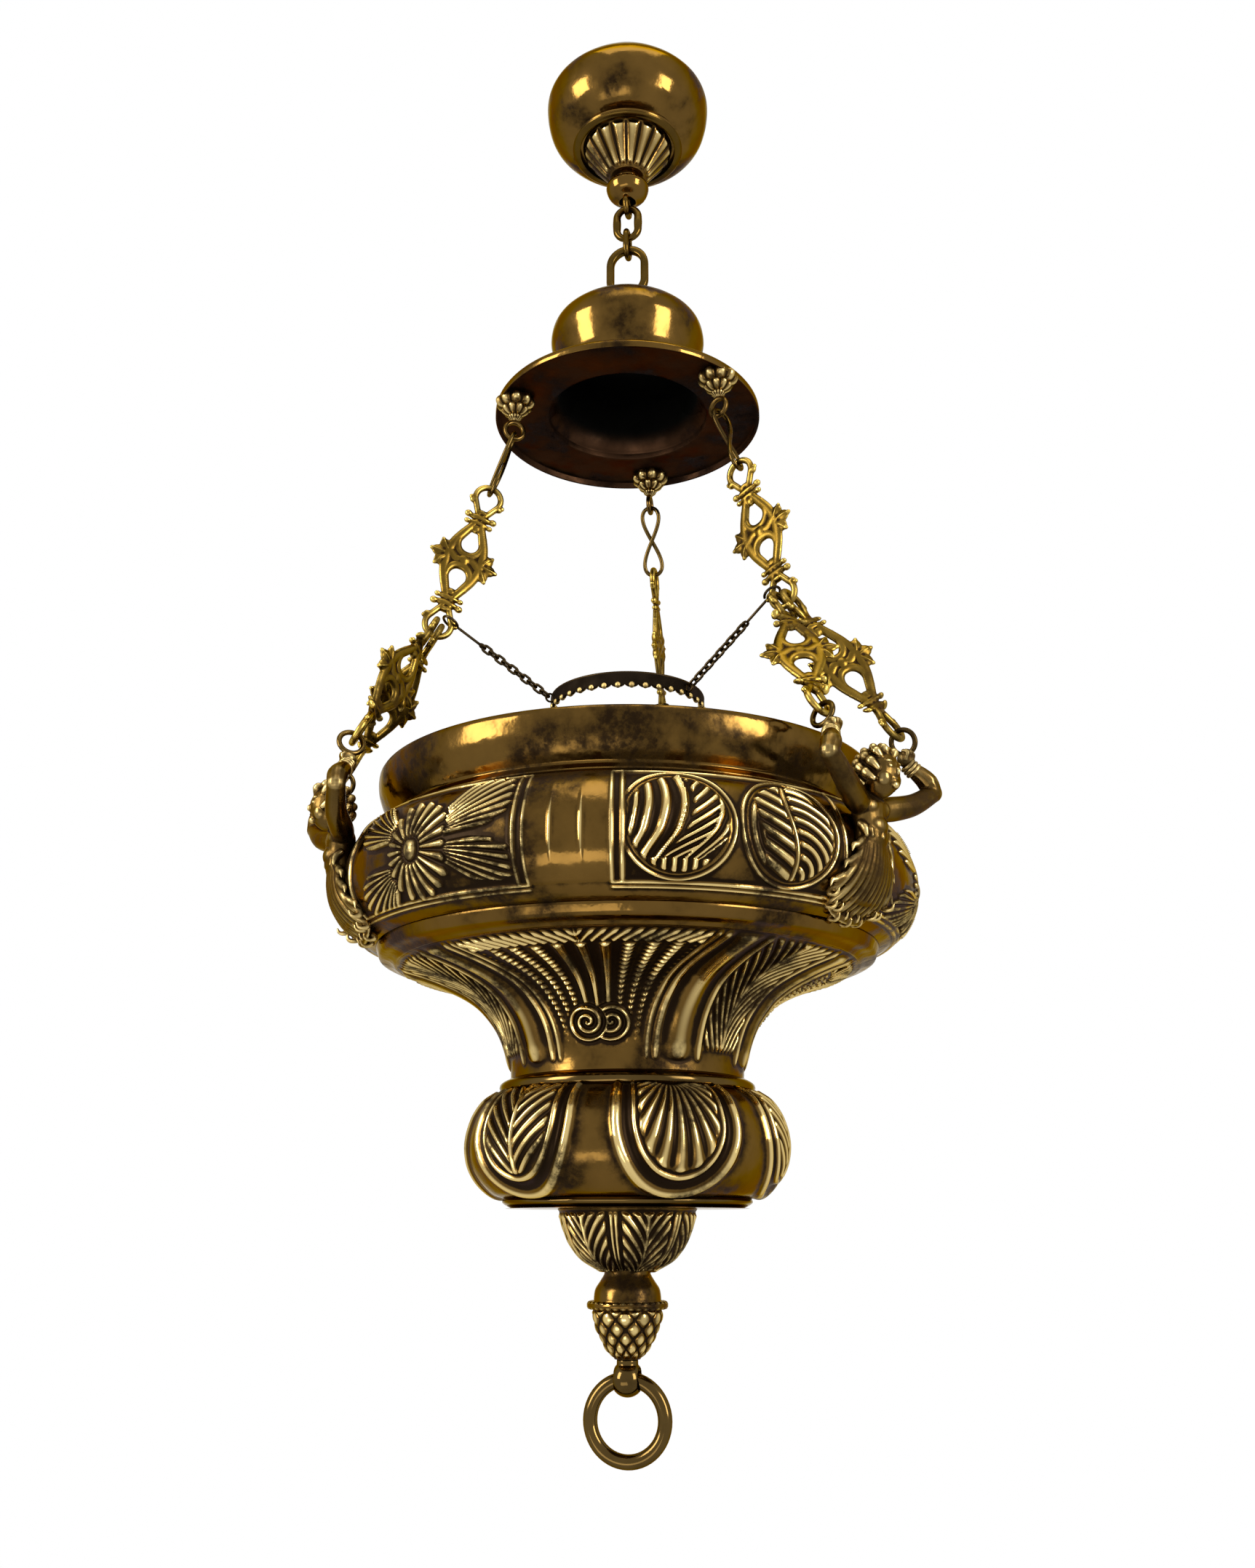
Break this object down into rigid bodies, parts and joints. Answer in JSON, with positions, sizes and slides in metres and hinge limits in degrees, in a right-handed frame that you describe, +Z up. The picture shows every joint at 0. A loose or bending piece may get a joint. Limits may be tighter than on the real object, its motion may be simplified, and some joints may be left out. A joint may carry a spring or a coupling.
{
  "type": "hanging chain oil lamp",
  "caption": "Hanging brass oil lamp: ceiling rose, wire links, bell cap, openwork chains held by putti on a repousse bowl, ring for a glass, acorn finial with pull ring.",
  "frame": {"origin": "middle of the ceiling plate, on the face that meets the ceiling", "axes": "+Z up into the ceiling, the lamp hangs along -Z; -Y toward the viewer, with one chain at the back on +Y and two in front; +X to the viewer's right"},
  "size_m": [0.3806, 0.3643, 0.9238],
  "materials": {
    "gilt_brass": "bright cast and drawn brass, worn",
    "aged_brass": "polished sheet brass with brown patina in the hollows",
    "cast_brass": "cast brass with dark hollows",
    "dark_brass": "darkened brass, sooty outside",
    "inner_brass": "plain turned brass",
    "clear_glass": "clear pressed glass",
    "cotton": "woven cotton wick"
  },
  "bodies": {
    "canopy": {"ceiling_plate": "inner_brass", "hanger_stem": "inner_brass", "stem_nut": "inner_brass", "ceiling_rose": "aged_brass", "rose_ring": "gilt_brass", "fluted_cone": "aged_brass", "rose_knob": "aged_brass"},
    "top_link": {"top_link": "gilt_brass"},
    "mid_link": {"mid_link": "gilt_brass"},
    "hook_link": {"hook_link": "gilt_brass"},
    "cap": {"cap_shell": "aged_brass", "cap_eye": "gilt_brass", "cap_nut": "inner_brass", "rosette_nuts": "inner_brass", "rosette_back": "aged_brass", "rosette_left": "aged_brass", "rosette_right": "aged_brass"},
    "chain_back": {"figure_eight_back": "gilt_brass", "upper_link_back": "gilt_brass"},
    "chain_left": {"figure_eight_left": "gilt_brass", "upper_link_left": "gilt_brass"},
    "chain_right": {"figure_eight_right": "gilt_brass", "upper_link_right": "gilt_brass"},
    "pair_back": {"lower_link_a_back": "gilt_brass", "lower_link_b_back": "gilt_brass"},
    "pair_left": {"lower_link_a_left": "gilt_brass", "lower_link_b_left": "gilt_brass"},
    "pair_right": {"lower_link_a_right": "gilt_brass", "lower_link_b_right": "gilt_brass"},
    "glass_ring": {"glass_ring": "dark_brass", "fine_chain_back": "dark_brass", "fine_chain_left": "dark_brass", "fine_chain_right": "dark_brass"},
    "bowl": {"putto_back": "cast_brass", "putto_left": "cast_brass", "putto_right": "cast_brass", "hand_rings_back": "gilt_brass", "hand_rings_left": "gilt_brass", "hand_rings_right": "gilt_brass", "bowl_rim": "aged_brass", "bowl_belly": "aged_brass", "belly_moulding": "aged_brass", "funnel": "aged_brass", "neck_collar": "aged_brass", "lower_knob": "aged_brass", "base_plate": "aged_brass", "leaf_cup": "aged_brass", "acorn_finial": "aged_brass", "ring_ball": "gilt_brass", "tie_rod": "inner_brass", "rod_nut": "inner_brass", "bridge_plate": "inner_brass"},
    "pull_ring": {"pull_ring": "gilt_brass"},
    "oil_glass": {"oil_glass": "clear_glass", "wick_tube": "inner_brass", "wick": "cotton"}
  },
  "joints": [
    {"name": "top_link_swing", "type": "hinge", "parent": "canopy", "child": "top_link", "pos_m": [0, 0, -0.1037], "axis": [1, 0, 0], "range_deg": [-15, 15]},
    {"name": "mid_link_swing", "type": "hinge", "parent": "top_link", "child": "mid_link", "pos_m": [0, 0, -0.1241], "axis": [0, 1, 0], "range_deg": [-15, 15]},
    {"name": "hook_link_swing", "type": "hinge", "parent": "mid_link", "child": "hook_link", "pos_m": [0, 0, -0.1389], "axis": [1, 0, 0], "range_deg": [-15, 15]},
    {"name": "lamp_swing", "type": "hinge", "parent": "hook_link", "child": "cap", "pos_m": [0, 0, -0.1711], "axis": [0, 1, 0], "range_deg": [-15, 15]},
    {"name": "bowl_twist", "type": "hinge", "parent": "cap", "child": "bowl", "pos_m": [0, 0, -0.5], "axis": [0, 0, 1], "range_deg": [-3, 3], "stiffness_Nm_per_rad": 4},
    {"name": "chain_back_sway", "type": "hinge", "parent": "cap", "child": "chain_back", "pos_m": [0, 0.078, -0.3007], "axis": [0, 1, 0], "range_deg": [-2.57, 2.57]},
    {"name": "pair_back_turn", "type": "hinge", "parent": "chain_back", "child": "pair_back", "pos_m": [0, 0.12162, -0.4431], "axis": [0, -0.6495, 0.7604], "range_deg": [-3.95, 3.95]},
    {"name": "chain_left_sway", "type": "hinge", "parent": "cap", "child": "chain_left", "pos_m": [-0.06755, -0.039, -0.3007], "axis": [-0.866, -0.5, 0], "range_deg": [-2.57, 2.57]},
    {"name": "pair_left_turn", "type": "hinge", "parent": "chain_left", "child": "pair_left", "pos_m": [-0.10533, -0.06081, -0.4431], "axis": [0.5625, 0.3247, 0.7604], "range_deg": [-3.95, 3.95]},
    {"name": "chain_right_sway", "type": "hinge", "parent": "cap", "child": "chain_right", "pos_m": [0.06755, -0.039, -0.3007], "axis": [0.866, -0.5, 0], "range_deg": [-2.57, 2.57]},
    {"name": "pair_right_turn", "type": "hinge", "parent": "chain_right", "child": "pair_right", "pos_m": [0.10533, -0.06081, -0.4431], "axis": [-0.5625, 0.3247, 0.7604], "range_deg": [-3.95, 3.95]},
    {"name": "glass_ring_turn", "type": "hinge", "parent": "cap", "child": "glass_ring", "pos_m": [0, 0, -0.4823], "axis": [0, 0, 1], "range_deg": [-3.1, 3.1]},
    {"name": "pull_ring_swing", "type": "hinge", "parent": "bowl", "child": "pull_ring", "pos_m": [0, 0, -0.87779], "axis": [1, 0, 0], "range_deg": [-70, 70]},
    {"name": "oil_glass_lift", "type": "slide", "parent": "bowl", "child": "oil_glass", "axis": [0, 0, 1], "range_m": [0, 0.15]}
  ],
  "couplings": [
    {"joint": "chain_back_sway", "follows": "bowl_twist", "ratio": 0.85412},
    {"joint": "pair_back_turn", "follows": "bowl_twist", "ratio": 1.3151},
    {"joint": "chain_left_sway", "follows": "bowl_twist", "ratio": 0.85412},
    {"joint": "pair_left_turn", "follows": "bowl_twist", "ratio": 1.3151},
    {"joint": "chain_right_sway", "follows": "bowl_twist", "ratio": 0.85412},
    {"joint": "pair_right_turn", "follows": "bowl_twist", "ratio": 1.3151},
    {"joint": "glass_ring_turn", "follows": "bowl_twist", "ratio": 1.0318}
  ]
}
